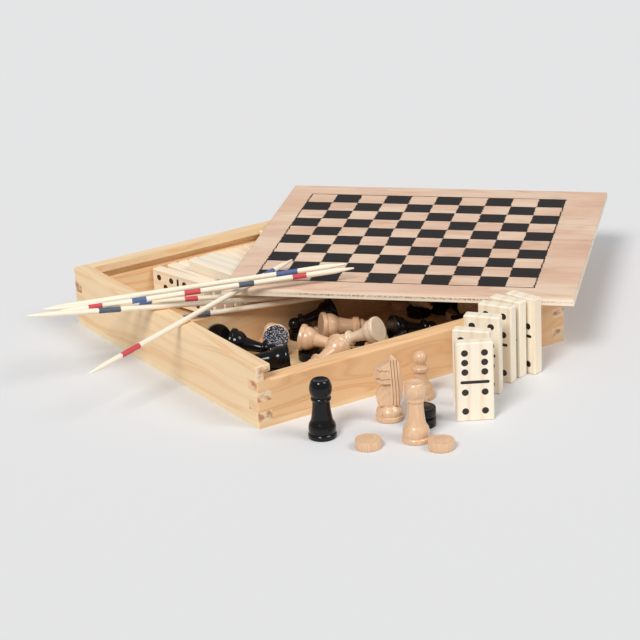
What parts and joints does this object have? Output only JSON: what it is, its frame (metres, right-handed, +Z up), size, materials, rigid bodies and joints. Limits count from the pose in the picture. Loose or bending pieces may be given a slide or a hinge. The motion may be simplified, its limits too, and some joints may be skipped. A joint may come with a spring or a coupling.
{
  "type": "games compendium box",
  "caption": "Finger-jointed wooden games tray with a sliding draughts-board lid laid across it, holding chessmen, draughts, dominoes and pick-up sticks.",
  "frame": {"origin": "centre of the box's underside, where it meets the table", "axes": "+X along the low front wall from left to right, +Y from the front wall to the back wall, +Z up"},
  "size_m": [0.3853, 0.3236, 0.0483],
  "materials": {
    "pine": "satin",
    "birch_plywood": "matt, printed chequers",
    "stick_wood": "bare, painted bands",
    "domino_wood": "satin",
    "varnished_wood": "gloss varnish",
    "black_lacquer": "gloss lacquer"
  },
  "bodies": {
    "case": {"bottom_plate": "pine", "left_wall": "pine", "right_wall": "pine", "front_wall": "pine", "back_wall": "pine", "divider": "pine", "stick_on_divider": "stick_wood", "sticks_stored": "stick_wood", "dominoes_stored": "domino_wood", "draughts_tray_natural": "varnished_wood", "draughts_tray_black": "black_lacquer", "chessmen_stored_natural": "varnished_wood", "chessmen_stored_black": "black_lacquer", "dominoes_tray_open": "domino_wood", "tray_pawn_natural_1": "varnished_wood", "tray_pawn_natural_4": "varnished_wood", "tray_king_natural": "varnished_wood", "tray_pawn_black_2": "black_lacquer", "tray_pawn_black_3": "black_lacquer", "tray_pawn_black_4": "black_lacquer"},
    "lid": {"lid_board": "birch_plywood"},
    "stick_lower": {"stick_lower": "stick_wood"},
    "stick_upper_front": {"stick_upper_front": "stick_wood"},
    "stick_upper_back": {"stick_upper_back": "stick_wood"},
    "stick_left_back": {"stick_left_back": "stick_wood"},
    "stick_left_front": {"stick_left_front": "stick_wood"},
    "domino_standing_1": {"domino_standing_1": "domino_wood"},
    "domino_standing_2": {"domino_standing_2": "domino_wood"},
    "domino_standing_3": {"domino_standing_3": "domino_wood"},
    "domino_standing_4": {"domino_standing_4": "domino_wood"},
    "domino_standing_5": {"domino_standing_5": "domino_wood"},
    "domino_standing_6": {"domino_standing_6": "domino_wood"},
    "domino_tray_first": {"domino_tray_first": "domino_wood"},
    "domino_tray_flat": {"domino_tray_flat": "domino_wood"},
    "rook_standing_black": {"rook_standing_black": "black_lacquer"},
    "knight_standing_natural": {"knight_standing_natural": "varnished_wood"},
    "pawn_standing_natural": {"pawn_standing_natural": "varnished_wood"},
    "rook_standing_natural": {"rook_standing_natural": "varnished_wood"},
    "draught_natural_left": {"draught_natural_left": "varnished_wood"},
    "draught_natural_front": {"draught_natural_front": "varnished_wood"},
    "draught_black_lower": {"draught_black_lower": "black_lacquer"},
    "draught_black_upper": {"draught_black_upper": "black_lacquer"},
    "tray_queen_black": {"tray_queen_black": "black_lacquer"},
    "tray_pawn_natural_2": {"tray_pawn_natural_2": "varnished_wood"},
    "tray_pawn_natural_3": {"tray_pawn_natural_3": "varnished_wood"},
    "tray_pawn_black_1": {"tray_pawn_black_1": "black_lacquer"}
  },
  "joints": [
    {"name": "lid_lift", "type": "slide", "parent": "case", "child": "lid", "axis": [0, 0, 1], "range_m": [0, 0.06]},
    {"name": "stick_lower_lift", "type": "slide", "parent": "lid", "child": "stick_lower", "axis": [0, 0, 1], "range_m": [0, 0.03]},
    {"name": "stick_upper_front_lift", "type": "slide", "parent": "stick_lower", "child": "stick_upper_front", "axis": [0, 0, 1], "range_m": [0, 0.03]},
    {"name": "stick_upper_back_lift", "type": "slide", "parent": "stick_upper_front", "child": "stick_upper_back", "axis": [0, 0, 1], "range_m": [0, 0.03]},
    {"name": "stick_left_back_draw", "type": "slide", "parent": "case", "child": "stick_left_back", "axis": [-0.9771, 0.1839, 0.1071], "range_m": [0, 0.12]},
    {"name": "stick_left_front_draw", "type": "slide", "parent": "case", "child": "stick_left_front", "axis": [-0.9825, 0.1433, 0.1186], "range_m": [0, 0.12]},
    {"name": "domino_standing_1_lift", "type": "slide", "parent": "case", "child": "domino_standing_1", "axis": [0, 0, 1], "range_m": [0, 0.06]},
    {"name": "domino_standing_2_lift", "type": "slide", "parent": "case", "child": "domino_standing_2", "axis": [0, 0, 1], "range_m": [0, 0.06]},
    {"name": "domino_standing_3_lift", "type": "slide", "parent": "case", "child": "domino_standing_3", "axis": [0, 0, 1], "range_m": [0, 0.06]},
    {"name": "domino_standing_4_lift", "type": "slide", "parent": "case", "child": "domino_standing_4", "axis": [0, 0, 1], "range_m": [0, 0.06]},
    {"name": "domino_standing_5_lift", "type": "slide", "parent": "case", "child": "domino_standing_5", "axis": [0, 0, 1], "range_m": [0, 0.06]},
    {"name": "domino_standing_6_lift", "type": "slide", "parent": "case", "child": "domino_standing_6", "axis": [0, 0, 1], "range_m": [0, 0.06]},
    {"name": "domino_tray_first_lift", "type": "slide", "parent": "case", "child": "domino_tray_first", "axis": [0, 0, 1], "range_m": [0, 0.05]},
    {"name": "domino_tray_flat_draw", "type": "slide", "parent": "case", "child": "domino_tray_flat", "axis": [-0.1564, 0.9877, 0], "range_m": [0, 0.015]},
    {"name": "rook_standing_black_lift", "type": "slide", "parent": "case", "child": "rook_standing_black", "axis": [0, 0, 1], "range_m": [0, 0.06]},
    {"name": "knight_standing_natural_lift", "type": "slide", "parent": "case", "child": "knight_standing_natural", "axis": [0, 0, 1], "range_m": [0, 0.06]},
    {"name": "pawn_standing_natural_lift", "type": "slide", "parent": "case", "child": "pawn_standing_natural", "axis": [0, 0, 1], "range_m": [0, 0.06]},
    {"name": "rook_standing_natural_lift", "type": "slide", "parent": "case", "child": "rook_standing_natural", "axis": [0, 0, 1], "range_m": [0, 0.06]},
    {"name": "draught_natural_left_lift", "type": "slide", "parent": "case", "child": "draught_natural_left", "axis": [0, 0, 1], "range_m": [0, 0.03]},
    {"name": "draught_natural_front_lift", "type": "slide", "parent": "case", "child": "draught_natural_front", "axis": [0, 0, 1], "range_m": [0, 0.03]},
    {"name": "draught_black_lower_lift", "type": "slide", "parent": "case", "child": "draught_black_lower", "axis": [0, 0, 1], "range_m": [0, 0.03]},
    {"name": "draught_black_upper_lift", "type": "slide", "parent": "draught_black_lower", "child": "draught_black_upper", "axis": [0, 0, 1], "range_m": [0, 0.03]},
    {"name": "tray_queen_black_lift", "type": "slide", "parent": "case", "child": "tray_queen_black", "axis": [0, 0, 1], "range_m": [0, 0.05]},
    {"name": "tray_pawn_natural_2_lift", "type": "slide", "parent": "case", "child": "tray_pawn_natural_2", "axis": [0, 0, 1], "range_m": [0, 0.05]},
    {"name": "tray_pawn_natural_3_lift", "type": "slide", "parent": "case", "child": "tray_pawn_natural_3", "axis": [0, 0, 1], "range_m": [0, 0.05]},
    {"name": "tray_pawn_black_1_lift", "type": "slide", "parent": "case", "child": "tray_pawn_black_1", "axis": [0, 0, 1], "range_m": [0, 0.05]}
  ]
}
